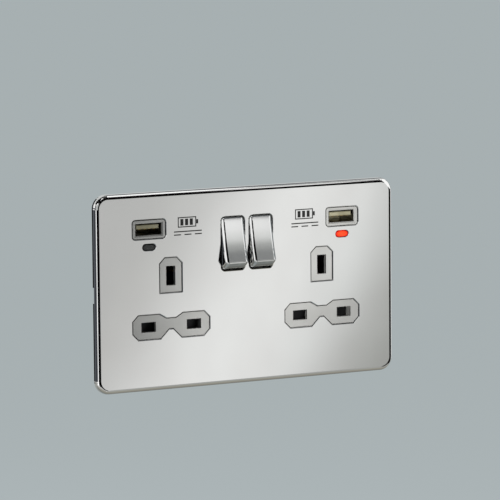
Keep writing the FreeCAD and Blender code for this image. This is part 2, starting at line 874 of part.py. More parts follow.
def earth_strap():
    z = line_z + earth_rise
    shapes = [pin_clip(socket_x(side), z, earth_mouth_y, earth_y, earth_half_gap, earth_leaf_width, True)
              for side in (-1, 1)]
    shapes += strip([(socket_x(-1), z), (socket_x(1), z)], strip_width, earth_y)
    x = terminal_places["earth"]
    shapes.append(box(x - block_width / 2, x + block_width / 2, earth_y, earth_y + strip_thick,
                      terminal_z - block_height / 2, z))
    strap = fuse(shapes)
    hole = terminal_screw_radius + screw_hole_gap
    return strap.cut(rod(x, terminal_z, hole, earth_y - over, earth_y + strip_thick + over))


def terminal_block(name):
    x = terminal_places[name]
    block = cell(x, terminal_z, block_width, block_height, block_front_y, earth_y)
    wire_y = (block_front_y + earth_y) / 2
    foot = Vector(x, wire_y, terminal_z - block_height / 2 - over)
    block = block.cut(Part.makeCylinder(wire_bore, block_height + 2 * over, foot))
    return block.cut(rod(x, terminal_z, terminal_screw_radius + screw_thread_gap, wire_y, earth_y + over))


def terminal_screws():
    head_y = earth_y + strip_thick + terminal_head_gap
    face_y = head_y + terminal_head_thick
    wire_y = (block_front_y + earth_y) / 2
    screws = []
    for x in terminal_places.values():
        shank = rod(x, terminal_z, terminal_screw_radius, wire_y + wire_bore + skin, head_y + root)
        head = rod(x, terminal_z, terminal_head_radius, head_y, face_y)
        slot = cell(x, terminal_z, 2 * (terminal_head_radius + over), terminal_slot_width,
                    face_y - terminal_slot_depth, face_y + over)
        screws.append(shank.fuse(head).cut(slot).removeSplitter())
    return Part.makeCompound(screws)


def case_screws():
    screws = []
    for x, z in post_places:
        head_y = case_head_y + case_seat_gap
        shank = rod(x, z, case_screw_radius, case_screw_tip_y, head_y + root)
        screws.append(fuse([shank, rod(x, z, case_head_radius, head_y, head_y + case_head_thick)]))
    return Part.makeCompound(screws)


def fixing_screws():
    screws = []
    for side in (-1, 1):
        x = side * fixing_pitch / 2
        shank = rod(x, 0, fixing_radius, flange_front_y + root, flange_front_y + fixing_length)
        screws.append(fuse([screw_head_cone(x, 0), shank]))
    return Part.makeCompound(screws)


def shutter(side):
    # the blade over both lower slots, and the arm with the ramp that the earth pin pushes
    x = socket_x(side)
    y0 = shutter_y
    y1 = shutter_y + shutter_thick
    blade = cell(x, line_z, 2 * shutter_half_width, 2 * shutter_half_height, y0, y1)
    blade = blade.makeFillet(shutter_corner, edges_along(blade, Vector(0, 1, 0)))
    stem = box(x - shutter_stem_half, x + shutter_stem_half, y0, y1, line_z, line_z + shutter_stem_top)
    cam = [(y0, shutter_arm_low), (ramp_back_y, shutter_arm_low), (ramp_back_y, ramp_high),
           (ramp_front_y, ramp_low), (ramp_front_y, shutter_stem_top), (y0, shutter_stem_top)]
    cam = side_prism([(y, line_z + z) for y, z in cam], x - shutter_arm_half, x + shutter_arm_half)
    return fuse([blade, stem, cam])


def shutter_spring(side):
    length = shutter_spring_length - 2 * spring_end_gap
    spring = coil_spring(shutter_spring_radius, spring_wire, length, shutter_spring_turns)
    y = shutter_y + shutter_thick / 2 + spring_offset
    z0 = line_z - shutter_half_height - shutter_spring_length + spring_end_gap
    spring.translate(Vector(socket_x(side), y, z0))
    return spring


def usb_shell(side):
    x = side * usb_half_spacing
    y0 = pad_front_y + bezel_lip + shell_end_gap
    y1 = board_y - shell_end_gap
    tube = slab(x, usb_z, shell_outer_width(), shell_outer_height(), shell_corner, y0, y1)
    tube = tube.cut(slab(x, usb_z, shell_inner_width, shell_inner_height, shell_corner - shell_wall,
                         y0 - over, y1 + over))
    start = y0 + shell_window_start
    for s in (-1, 1):
        tube = tube.cut(cell(x + s * shell_window_pitch / 2, usb_z, shell_window_width,
                             shell_outer_height() + over, start, start + shell_window_length))
    return tube


def usb_tongue(side):
    x = side * usb_half_spacing
    top = usb_z + shell_inner_height / 2 - tongue_headroom
    y0 = pad_front_y + bezel_lip + tongue_recess
    root_y = board_y - tongue_root_depth
    blade = box(x - tongue_width / 2, x + tongue_width / 2, y0, root_y + over, top - tongue_thick, top)
    blade = blade.makeChamfer(tongue_edge, front_edges(blade, y0))
    core = slab(x, usb_z, shell_inner_width - 2 * tongue_fit, shell_inner_height - 2 * tongue_fit,
                shell_corner - shell_wall, root_y, board_y - shell_end_gap)
    return fuse([blade, core])


def usb_contacts(side):
    x = side * usb_half_spacing
    under = usb_z + shell_inner_height / 2 - tongue_headroom - tongue_thick
    y0 = pad_front_y + bezel_lip + tongue_recess + contact_start
    half = contact_strip_width / 2
    strips = [box(x + place - half, x + place + half, y0, board_y - tongue_root_depth,
                  under - contact_strip_thick, under) for place in contact_places]
    return Part.makeCompound(strips)


def indicator_lens(side):
    x = side * usb_half_spacing
    fit = 2 * lens_gap
    front = front_y + lens_sink
    collar_back = lens_collar_gap + lens_collar_thick
    tip = stadium(x, indicator_z, indicator_width - fit, indicator_height - fit, front, collar_back)
    tip = tip.makeChamfer(lens_edge, front_edges(tip, front))
    collar = cell(x, indicator_z, indicator_width + 2 * lens_collar, indicator_height + 2 * lens_collar,
                  lens_collar_gap, collar_back)
    pipe = cell(x, indicator_z, light_pipe_width, light_pipe_height, lens_collar_gap,
                board_y - led_thick - light_pipe_gap)
    return fuse([tip, collar, pipe])


def indicator_leds():
    leds = [cell(side * usb_half_spacing, indicator_z, led_width, led_height, board_y - led_thick, board_y)
            for side in SIDES.values()]
    return Part.makeCompound(leds)


def charger_board():
    y1 = board_y + board_thick
    board = box(-board_half_length, board_half_length, board_y, y1, board_low, board_high)
    for side in SIDES.values():
        x0, x1 = sorted((side * board_drop_inner, side * board_half_length))
        board = board.fuse(box(x0, x1, board_y, y1, board_drop_low, board_low + root))
    board = board.removeSplitter()
    ends = [edge for edge in edges_along(board, Vector(0, 1, 0))
            if abs(edge.CenterOfMass.x) > board_half_length - skin]
    board = board.makeFillet(board_corner, ends)
    for x, z in post_places:
        board = board.cut(rod(x, z, tube_radius + board_post_gap, board_y - over, y1 + over))
    return board


def transformer():
    y0 = board_y - transformer_depth
    bobbin_width = transformer_width - 2 * bobbin_inset
    back = board_y - bobbin_back
    core = cell(transformer_x, transformer_z, transformer_width, 2 * core_half, y0 + core_start, board_y - core_half)
    front = cell(transformer_x, transformer_z, bobbin_width, transformer_height,
                 y0 + bobbin_start, y0 + bobbin_start + bobbin_end)
    foot = cell(transformer_x, transformer_z, bobbin_width, transformer_height, back, board_y)
    winding = slab(transformer_x, transformer_z, transformer_width - winding_narrow,
                   transformer_height - winding_low, winding_corner, y0 + bobbin_start + root, back + root)
    return fuse([core, front, foot, winding])


def smoothing_capacitor():
    y0 = board_y - capacitor_length
    can = rod(capacitor_x, capacitor_z, capacitor_radius, y0, board_y)
    return can.makeChamfer(capacitor_edge, front_edges(can, y0))


save("front_plate", front_plate())
save("face_moulding", face_moulding())
save("rear_cover", rear_cover())
save("supply_bar", supply_bar())
save("neutral_strap", neutral_strap())
save("earth_strap", earth_strap())
for terminal in terminal_places:
    save("terminal_block_" + terminal, terminal_block(terminal))
save("terminal_screws", terminal_screws())
save("case_screws", case_screws())
save("fixing_screws", fixing_screws())
save("charger_board", charger_board())
save("transformer", transformer())
save("smoothing_capacitor", smoothing_capacitor())
save("indicator_leds", indicator_leds())
for name, side in SIDES.items():
    save("rocker_cap_" + name, rocker_cap(side))
    save("rocker_carrier_" + name, rocker_carrier(side))
    save("plunger_" + name, plunger(side))
    save("plunger_spring_" + name, plunger_spring(side))
    save("contact_lever_" + name, contact_lever(side))
    save("live_link_" + name, live_link(side))
    save("shutter_" + name, shutter(side))
    save("shutter_spring_" + name, shutter_spring(side))
    save("usb_shell_" + name, usb_shell(side))
    save("usb_tongue_" + name, usb_tongue(side))
    save("usb_contacts_" + name, usb_contacts(side))
    save("indicator_lens_" + name, indicator_lens(side))
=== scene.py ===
import bmesh
import bpy
import json
import math
from mathutils import Matrix, Vector


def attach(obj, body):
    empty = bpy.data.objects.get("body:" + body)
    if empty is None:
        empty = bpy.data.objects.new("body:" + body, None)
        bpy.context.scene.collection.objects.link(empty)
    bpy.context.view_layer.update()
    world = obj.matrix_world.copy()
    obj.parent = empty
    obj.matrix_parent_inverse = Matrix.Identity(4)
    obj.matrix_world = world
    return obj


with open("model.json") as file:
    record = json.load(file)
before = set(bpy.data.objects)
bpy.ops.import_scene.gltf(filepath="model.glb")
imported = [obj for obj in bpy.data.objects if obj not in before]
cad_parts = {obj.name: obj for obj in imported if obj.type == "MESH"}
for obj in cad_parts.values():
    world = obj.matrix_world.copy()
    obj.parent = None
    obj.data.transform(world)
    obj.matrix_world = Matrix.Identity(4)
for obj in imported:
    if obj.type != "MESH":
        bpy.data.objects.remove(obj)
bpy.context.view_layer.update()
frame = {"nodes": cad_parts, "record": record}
MM = 0.001
# the sockets of a Mix node that is set to colours
MIX_SHARE, MIX_FIRST, MIX_SECOND, MIX_RESULT = 0, 6, 7, 2
# most of a noise texture's values lie between these
NOISE_LOW, NOISE_HIGH = 0.3, 0.7


def box_of(name):
    # the low and high corners of one CAD node, in metres
    spots = [vertex.co for vertex in frame["nodes"][name].data.vertices]
    return [Vector([pick(spot[axis] for spot in spots) for axis in range(3)]) for pick in (min, max)]


def middle_of(name):
    low, high = box_of(name)
    return (low + high) / 2


PLATE_LOW, PLATE_HIGH = box_of("front_plate")
# how thick the plate's sheet is
SHEET = 1.0 * MM
PAD_FRONT = box_of("face_moulding")[0].y
# the right port and its lens, which the left ones mirror
PORT = middle_of("usb_shell_right")
LENS = middle_of("indicator_lens_right")
CAPACITOR = middle_of("smoothing_capacitor")


def linear(code):
    # sRGB hex to linear red, green, blue and alpha
    parts = [int(code[i:i + 2], 16) / 255 for i in (1, 3, 5)]
    return [c / 12.92 if c <= 0.04045 else ((c + 0.055) / 1.055) ** 2.4 for c in parts] + [1.0]


def add(tree, kind, links=None, stops=(), **settings):
    # one node: its settings, what goes into its sockets, and a ramp's stops, each a place and a colour
    node = tree.nodes.new("ShaderNode" + kind)
    for key, value in settings.items():
        setattr(node, key, value)
    for key, value in (links or {}).items():
        if isinstance(value, bpy.types.NodeSocket):
            tree.links.new(value, node.inputs[key])
        else:
            node.inputs[key].default_value = value
    for i, (place, colour) in enumerate(stops):
        if i == 0:
            node.color_ramp.elements.remove(node.color_ramp.elements[1])
            node.color_ramp.elements[0].position = place
        spot = node.color_ramp.elements[0] if i == 0 else node.color_ramp.elements.new(place)
        spot.color = linear(colour)
    return node


def per_mm(size):
    # a texture scale that gives features of this size in millimetres
    return 1000.0 / size


def new_finish(name):
    finish = bpy.data.materials.new(name)
    finish.use_nodes = True
    tree = finish.node_tree
    tree.nodes.clear()
    surface = add(tree, "BsdfPrincipled")
    add(tree, "OutputMaterial", {"Surface": surface.outputs["BSDF"]})
    place = add(tree, "TexCoord").outputs["Object"]
    return finish, tree, surface, place


def speckle(tree, place, size, low, high, detail=2.0, squash=(1.0, 1.0, 1.0)):
    # a value that wanders between low and high over spots of this size in millimetres
    laid = add(tree, "Mapping", {"Vector": place, "Scale": squash}).outputs["Vector"]
    noise = add(tree, "TexNoise", {"Vector": laid, "Scale": per_mm(size), "Detail": detail}).outputs["Fac"]
    return add(tree, "MapRange", {"Value": noise, "From Min": NOISE_LOW, "From Max": NOISE_HIGH,
                                  "To Min": low, "To Max": high}).outputs["Result"]


def band(tree, value, rising, falling):
    # 0, up to 1 over the first pair of limits, and down to 0 again over the second
    up = add(tree, "MapRange", {"Value": value, "From Min": rising[0], "From Max": rising[1],
                                "To Min": 0.0, "To Max": 1.0}).outputs["Result"]
    return add(tree, "MapRange", {"Value": value, "From Min": falling[0], "From Max": falling[1],
                                  "To Min": up, "To Max": 0.0}).outputs["Result"]


def paint(tree, surface, share, dark, light):
    # the surface's colour runs from dark, where the share is 0, to light
    colour = add(tree, "Mix", {MIX_SHARE: share, MIX_FIRST: linear(dark), MIX_SECOND: linear(light)},
                 data_type="RGBA").outputs[MIX_RESULT]
    tree.links.new(colour, surface.inputs["Base Color"])
    return colour


def roughen(tree, surface, place, size, low, high, detail=2.0, squash=(1.0, 1.0, 1.0)):
    # the surface's roughness wanders over spots of this size in millimetres
    rough = speckle(tree, place, size, low, high, detail, squash)
    tree.links.new(rough, surface.inputs["Roughness"])


def grain(tree, surface, place, size, depth, squash=(1.0, 1.0, 1.0)):
    # fine relief, its depth in millimetres: a mould's or a roller's real grit is too fine to show, so it
    # is drawn coarser
    height = speckle(tree, place, size, 0.0, 1.0, 3.0, squash)
    bump = add(tree, "Bump", {"Height": height, "Distance": depth * MM, "Strength": 1.0})
    tree.links.new(bump.outputs["Normal"], surface.inputs["Normal"])


def moulded(name, dark, light, rough, grit, depth, patch=14.0):
    # moulded plastic: a faint change of tone over broad patches, and a fine texture from the mould
    finish, tree, surface, place = new_finish(name)
    paint(tree, surface, speckle(tree, place, patch, 0.0, 1.0), dark, light)
    roughen(tree, surface, place, grit * 3, rough - 0.05, rough + 0.05)
    surface.inputs["IOR"].default_value = 1.5
    grain(tree, surface, place, grit, depth)
    return finish


def face_plastic():
    # urea moulding, spark-eroded mould: an even grey, with painted shade that turns it near black where its
    # edges lie in the plate's narrow gaps
    finish, tree, surface, place = new_finish("urea_moulding")
    mouth_half_width = 7.1 * MM
    mouth_half_height = 3.45 * MM
    grey = paint(tree, surface, speckle(tree, place, 14.0, 0.0, 1.0), "#a0a09e", "#a8a8a6")
    parts = add(tree, "SeparateXYZ", {"Vector": place})
    # the painted shade of a gap starts just behind the pads' faces and ends at the back of the sheet
    sheet_back = PLATE_LOW.y + SHEET
    shade_depth_band = band(tree, parts.outputs["Y"], (PAD_FRONT + 0.01 * MM, PAD_FRONT + 0.11 * MM),
                (sheet_back, sheet_back + 0.2 * MM))
    # a port's own mouth gets no painted shade and stays light
    inside = []
    for axis, middle, half in (("X", PORT.x, mouth_half_width), ("Z", PORT.z, mouth_half_height)):
        size = add(tree, "Math", {0: parts.outputs[axis]}, operation="ABSOLUTE").outputs["Value"]
        size = add(tree, "Math", {0: size, 1: middle, 2: half}, operation="COMPARE").outputs["Value"]
        inside.append(size)
    mouth = add(tree, "Math", {0: inside[0], 1: inside[1]}, operation="MULTIPLY").outputs["Value"]
    # painted shade: the depth band, less the port mouths
    painted_gap_shade = add(tree, "Math", {0: shade_depth_band, 1: mouth}, operation="SUBTRACT", use_clamp=True).outputs["Value"]
    # the painted shade mixes the grey towards near black
    colour = add(tree, "Mix", {MIX_SHARE: painted_gap_shade, MIX_FIRST: grey, MIX_SECOND: linear("#1c1c1a")},
                 data_type="RGBA").outputs[MIX_RESULT]
    tree.links.new(colour, surface.inputs["Base Color"])
    roughen(tree, surface, place, 1.35, 0.5, 0.6)
    surface.inputs["IOR"].default_value = 1.5
    grain(tree, surface, place, 0.45, 0.012)
    return finish


def worked_metal(name, dark, light, rough, streak, depth, squash=(1.0, 1.0, 1.0)):
    # bare metal: tone and gloss wander over specks of this width in millimetres, which a squash under 1
    # draws out into streaks along the way that the metal was worked
    finish, tree, surface, place = new_finish(name)
    paint(tree, surface, speckle(tree, place, streak, 0.0, 1.0, 3.0, squash), dark, light)
    roughen(tree, surface, place, streak * 2, rough[0], rough[1], 2.0, squash)
    surface.inputs["Metallic"].default_value = 1.0
    grain(tree, surface, place, streak, depth, squash)
    return finish


def polished_chrome(name, worked_edge):
    # chrome plate on pressed steel, buffed: mirrors the room softly, with faint wiping marks
    finish, tree, surface, place = new_finish(name)
    paint(tree, surface, speckle(tree, place, 34.0, 0.0, 1.0), "#e3e3e2", "#e9eae9")
    roughen(tree, surface, place, 22.0, 0.03, 0.055, 4.0, (1.0, 1.0, 0.35))
    surface.inputs["Metallic"].default_value = 1.0
    bump = add(tree, "Bump", {"Height": worked_edge(tree, place), "Distance": 1.0, "Strength": 1.0})
    tree.links.new(bump.outputs["Normal"], surface.inputs["Normal"])
    return finish


def crowned_rim(tree, place):
    # buffing leaves the plate's rim flatter next to the face than the round it was pressed to
    corner = 6.2 * MM
    rim = 2.0 * MM
    # the relief grows with the square and the fourth power of the way across the rim
    crown = 0.21 * rim
    curl = 0.35 * rim
    parts = add(tree, "SeparateXYZ", {"Vector": place})
    past = []
    for axis, half in (("X", PLATE_HIGH.x), ("Z", PLATE_HIGH.z)):
        size = add(tree, "Math", {0: parts.outputs[axis]}, operation="ABSOLUTE").outputs["Value"]
        size = add(tree, "Math", {0: size, 1: half - corner}, operation="SUBTRACT").outputs["Value"]
        past.append(add(tree, "Math", {0: size, 1: 0.0}, operation="MAXIMUM").outputs["Value"])
    away = add(tree, "CombineXYZ", {"X": past[0], "Y": past[1]}).outputs["Vector"]
    away = add(tree, "VectorMath", {0: away}, operation="LENGTH").outputs["Value"]
    share = add(tree, "MapRange", {"Value": away, "From Min": corner - rim, "From Max": corner,
                                   "To Min": 0.0, "To Max": 1.0}).outputs["Result"]
    square = add(tree, "Math", {0: share, 1: share}, operation="MULTIPLY").outputs["Value"]
    steep = add(tree, "Math", {0: square, 1: curl, 2: crown}, operation="MULTIPLY_ADD").outputs["Value"]
    return add(tree, "Math", {0: square, 1: steep}, operation="MULTIPLY").outputs["Value"]


def rolled_lip(tree, place):
    # a rocker cap's lower lip turns down late: it holds the light from above in one pale line
    lip_top = 11.0 * MM
    lip_low = 10.6 * MM
    lip_round = 1.0 * MM
    # only the lip stands out this far, while the rocker is at off
    front = -7.8 * MM
    back = -7.6 * MM
    parts = add(tree, "SeparateXYZ", {"Vector": place})
    down = add(tree, "MapRange", {"Value": parts.outputs["Z"], "From Min": lip_top, "From Max": lip_low,
                                  "To Min": 0.0, "To Max": lip_top - lip_low}).outputs["Result"]
    # the relief bends the shading back by as much as the round bends the surface
    near = add(tree, "MapRange", {"Value": parts.outputs["Y"], "From Min": front, "From Max": back,
                                  "To Min": 0.5 / lip_round, "To Max": 0.0}).outputs["Result"]
    square = add(tree, "Math", {0: down, 1: down}, operation="MULTIPLY").outputs["Value"]
    return add(tree, "Math", {0: square, 1: near}, operation="MULTIPLY").outputs["Value"]


def board_laminate():
    # green solder mask over copper tracks: the tracks show as paler lines under the gloss
    finish, tree, surface, place = new_finish("solder_masked_laminate")
    flat = add(tree, "Mapping", {"Vector": place, "Rotation": (math.radians(90), 0.0, 0.0)})
    tracks = add(tree, "TexBrick", {"Vector": flat.outputs["Vector"], "Scale": per_mm(9.0),
                                    "Brick Width": 0.9, "Row Height": 0.35,
                                    "Mortar Size": 0.04, "Mortar Smooth": 0.0,
                                    "Color1": linear("#0d4a2b"), "Color2": linear("#0f5531"),
                                    "Mortar": linear("#3d8a4f")})
    tree.links.new(tracks.outputs["Color"], surface.inputs["Base Color"])
    roughen(tree, surface, place, 3.0, 0.22, 0.34)
    surface.inputs["IOR"].default_value = 1.5
    grain(tree, surface, place, 0.6, 0.008)
    return finish


def wound_tape():
    # yellow polyester tape round a winding: overlapping turns show as darker lines
    finish, tree, surface, place = new_finish("polyester_winding_tape")
    turned = add(tree, "Mapping", {"Vector": place, "Rotation": (0.0, 0.0, math.radians(90))})
    laps = add(tree, "TexWave", {"Vector": turned.outputs["Vector"], "Scale": per_mm(14.0),
                                 "Distortion": 0.6, "Detail": 1.0}, wave_profile="SAW")
    paint(tree, surface, laps.outputs["Fac"], "#b98d1d", "#e0b93a")
    roughen(tree, surface, place, 2.0, 0.28, 0.42)
    grain(tree, surface, place, 0.8, 0.01)
    return finish


def shrink_sleeve():
    # vinyl sleeve shrunk on a capacitor: deep blue with one pale stripe down its side
    finish, tree, surface, place = new_finish("vinyl_shrink_sleeve")
    stripe_edge = CAPACITOR.x + 2.2 * MM
    across = add(tree, "SeparateXYZ", {"Vector": place}).outputs["X"]
    stripe = add(tree, "Math", {0: across, 1: stripe_edge}, operation="GREATER_THAN").outputs["Value"]
    paint(tree, surface, stripe, "#1b2036", "#a9adb8")
    roughen(tree, surface, place, 2.5, 0.24, 0.36)
    grain(tree, surface, place, 1.2, 0.01)
    return finish


def from_lens(tree, place, stretch):
    # how far a place lies from the middle line of the nearer lens, its height counted this many times
    parts = add(tree, "SeparateXYZ", {"Vector": place})
    along = add(tree, "Math", {0: parts.outputs["X"]}, operation="ABSOLUTE").outputs["Value"]
    along = add(tree, "Math", {0: along, 1: LENS.x}, operation="SUBTRACT").outputs["Value"]
    up = add(tree, "Math", {0: parts.outputs["Z"], 1: LENS.z}, operation="SUBTRACT").outputs["Value"]
    up = add(tree, "Math", {0: up, 1: stretch}, operation="MULTIPLY").outputs["Value"]
    away = add(tree, "CombineXYZ", {"X": along, "Z": up}).outputs["Vector"]
    return add(tree, "VectorMath", {0: away}, operation="LENGTH").outputs["Value"]


def led_package():
    # cream lamp package with a round amber window in its middle
    finish, tree, surface, place = new_finish("moulded_lamp_package")
    window_radius = 0.5 * MM
    away = from_lens(tree, place, 1.0)
    rim = add(tree, "Math", {0: away, 1: window_radius}, operation="GREATER_THAN").outputs["Value"]
    paint(tree, surface, rim, "#d99a3a", "#e6e1d2")
    roughen(tree, surface, place, 0.8, 0.3, 0.4)
    return finish


def indicator_lens(name, dark, light, glow):
    # clear lens over a lamp: paler in its middle, and it glows where its port is in use
    finish, tree, surface, place = new_finish(name)
    middle_radius = 1.6 * MM
    edge_radius = 3.4 * MM
    away = from_lens(tree, place, 2.1)
    middle = add(tree, "MapRange", {"Value": away, "From Min": middle_radius, "From Max": edge_radius,
                                    "To Min": 1.0, "To Max": 0.0}, interpolation_type="SMOOTHSTEP")
    colour = paint(tree, surface, middle.outputs["Result"], dark, light)
    roughen(tree, surface, place, 1.2, 0.12, 0.2)
    surface.inputs["IOR"].default_value = 1.49
    if glow:
        tree.links.new(colour, surface.inputs["Emission Color"])
        surface.inputs["Emission Strength"].default_value = glow
    return finish


def printed_ink():
    # black pad-printed ink: dense and matt, a little thin in places
    finish, tree, surface, place = new_finish("pad_printed_ink")
    paint(tree, surface, speckle(tree, place, 1.5, 0.0, 1.0), "#161616", "#242424")
    roughen(tree, surface, place, 0.8, 0.45, 0.6)
    return finish


# one finish for each material slot of the CAD record
FINISHES = {
    # chrome of the rocker caps, with the lip's pale line
    "polished_chrome": polished_chrome("chromed_rocker_cap", rolled_lip),
    "grey_moulding": face_plastic(),
    # black nylon case moulding with a coarser texture
    "rear_moulding": moulded("glass_filled_nylon", "#262627", "#303031", rough=0.6, grit=0.6, depth=0.02),
    # rolled brass strip: warm streaks along the strip
    "brass": worked_metal("rolled_brass", "#b8935a", "#d9b878", rough=(0.22, 0.38), streak=0.7,
                          depth=0.004, squash=(0.12, 1.0, 1.0)),
    # zinc plated steel: pale grey with a soft bloom
    "plated_steel": worked_metal("zinc_plated_steel", "#a9aba9", "#c9cac6", rough=(0.28, 0.42),
                                 streak=1.2, depth=0.004),
    "board_laminate": board_laminate(),
    "transformer_tape": wound_tape(),
    "capacitor_sleeve": shrink_sleeve(),
    "led_package": led_package(),
    # dark self-coloured acetal of the switch parts, smoother than the case
    "dark_nylon": moulded("acetal_switch_moulding", "#343436", "#3f3f42", rough=0.42, grit=0.8,
                          depth=0.01, patch=6.0),
    # drawn spring wire: fine specks of brighter metal
    "spring_steel": worked_metal("drawn_spring_wire", "#8f9192", "#b4b6b6", rough=(0.25, 0.4),
                                 streak=0.25, depth=0.003),
    # shutter moulding, nearly black behind the pin slots
    "shutter_plastic": moulded("polycarbonate_shutter", "#141415", "#1c1c1d", rough=0.5, grit=0.5,
                               depth=0.01, patch=8.0),
    # nickel plated shell of a port: brushed along its depth
    "usb_steel": worked_metal("nickel_plated_shell", "#8d8d89", "#b2b1ab", rough=(0.25, 0.4), streak=0.3,
                              depth=0.003, squash=(1.0, 0.1, 1.0)),
    # cream thermoplastic tongue of a port
    "usb_insulator": moulded("liquid_crystal_polymer", "#817d66", "#96927c", rough=0.45, grit=0.5,
                             depth=0.008, patch=4.0),
    # gold flashed contacts: a warm gloss in streaks along the port
    "gold_contacts": worked_metal("gold_flashed_contact", "#c79b45", "#e0bb66", rough=(0.18, 0.3),
                                  streak=0.4, depth=0.002, squash=(1.0, 0.1, 1.0)),
    "lens_dark": indicator_lens("smoked_acrylic_lens", "#151616", "#323433", glow=0.0),
    "lens_lit": indicator_lens("red_acrylic_lens", "#8c0803", "#f53a16", glow=0.6),
}
for part in frame["record"]["subparts"]:
    node = frame["nodes"][part["node"]]
    node.data.materials.clear()
    node.data.materials.append(FINISHES[part["material_slot"]])
# the plate's chrome has the rim's lines in place of a lip's
frame["nodes"]["front_plate"].data.materials[0] = polished_chrome("buffed_chrome_plate", crowned_rim)


def new_object(name, shape, finish):
    mesh = bpy.data.meshes.new(name)
    shape.to_mesh(mesh)
    shape.free()
    mesh.materials.append(finish)
    thing = bpy.data.objects.new(name, mesh)
    bpy.context.scene.collection.objects.link(thing)
    return thing


def new_piece(name, shape, finish, body):
    bmesh.ops.recalc_face_normals(shape, faces=shape.faces)
    piece = new_object(name, shape, finish)
    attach(piece, body)
    return piece


def printed_marks(side):
    # a battery over the sign for direct current, beside each port; sizes in millimetres
    ink_thick = 0.03
    ink_sunk = 0.005
    ink_middle = PLATE_LOW.y / MM + ink_sunk - ink_thick / 2
    line = 0.45
    mark_x = side * 29.1
    battery_x = mark_x - 0.4
    battery_z = 30.0
    battery_width = 9.0
    battery_height = 4.6
    cell_width, cell_height, cell_pitch = 1.5, 2.9, 2.3
    first_cell = mark_x - 2.9
    cap_x = mark_x + battery_width / 2 + 0.1
    cap_width, cap_height = 0.9, 1.9
    sign_z, sign_width = 25.9, 13.6
    dash_z, dash_width, dash_pitch = 24.5, 3.4, 5.1
    sign_line = 0.5
    bars = [(cap_x, battery_z, cap_width, cap_height), (mark_x, sign_z, sign_width, sign_line)]
    for s in (-1, 1):
        bars.append((battery_x, battery_z + s * (battery_height - line) / 2, battery_width, line))
        bars.append((battery_x + s * (battery_width - line) / 2, battery_z, line, battery_height))
    for i in range(3):
        bars.append((first_cell + i * cell_pitch, battery_z, cell_width, cell_height))
        bars.append((mark_x + (i - 1) * dash_pitch, dash_z, dash_width, sign_line))
    shape = bmesh.new()
    for x, z, width, height in bars:
        size = Matrix.Diagonal((width * MM, ink_thick * MM, height * MM, 1.0))
        middle = Matrix.Translation(Vector((x, ink_middle, z)) * MM)
        bmesh.ops.create_cube(shape, size=1.0, matrix=middle @ size)
    return shape


INK = printed_ink()
for name, side in (("left", -1), ("right", 1)):
    new_piece("printed_marks_" + name, printed_marks(side), INK, "plate")


# cards that the polished parts mirror: a colour, two turns and two rises in degrees, how far the edges
# blend, and how many times as bright as its colour the card is
RIM_CARDS = [
    # straight in front, a plain grey card
    ("#c4c6c5", (-7.5, 7.5), (-4.6, 5.5), 0.3, 1.0),
    # the right rim's dark line, the white arc of its upper corner and the light beyond
    ("#060606", (31.0, 54.0), (-19.5, -3.2), 0.5, 1.0),
    ("#ffffff", (32.5, 55.0), (-3.2, 28.0), 0.5, 1.2),
    ("#8a9092", (55.0, 100.0), (-3.2, 28.0), 0.5, 1.0),
    ("#ffffff", (54.0, 100.0), (-12.5, -3.2), 0.5, 1.0),
]
ROCKER_CARDS = [
    # high on the right, past the ceiling that the rockers' faces show
    ("#5e6064", (28.0, 90.0), (34.0, 70.0), 0.7, 1.0),
    # strips and gaps seen in the rockers' rounded edges
    ("#0a0a0a", (-45.0, 24.0), (17.0, 34.0), 0.5, 1.0),
    ("#0a0a0a", (-20.0, 9.0), (7.0, 17.0), 0.5, 1.0),
    ("#ffffff", (-100.0, -46.0), (2.0, 30.0), 0.5, 1.1),
    ("#ffffff", (-46.0, -20.0), (2.0, 17.0), 0.5, 1.1),
    # the room's dark left end, seen in the rim's outside and in the rockers' sides
    ("#5d6066", (-24.0, -6.5), (-12.0, 2.0), 0.5, 1.0),
    ("#060606", (-42.0, -23.0), (-14.0, 0.0), 0.5, 1.0),
    ("#5d6066", (-140.0, -42.0), (-12.0, 2.0), 0.5, 1.0),
    ("#101010", (-179.0, -140.0), (-14.0, 30.0), 0.5, 1.0),
]


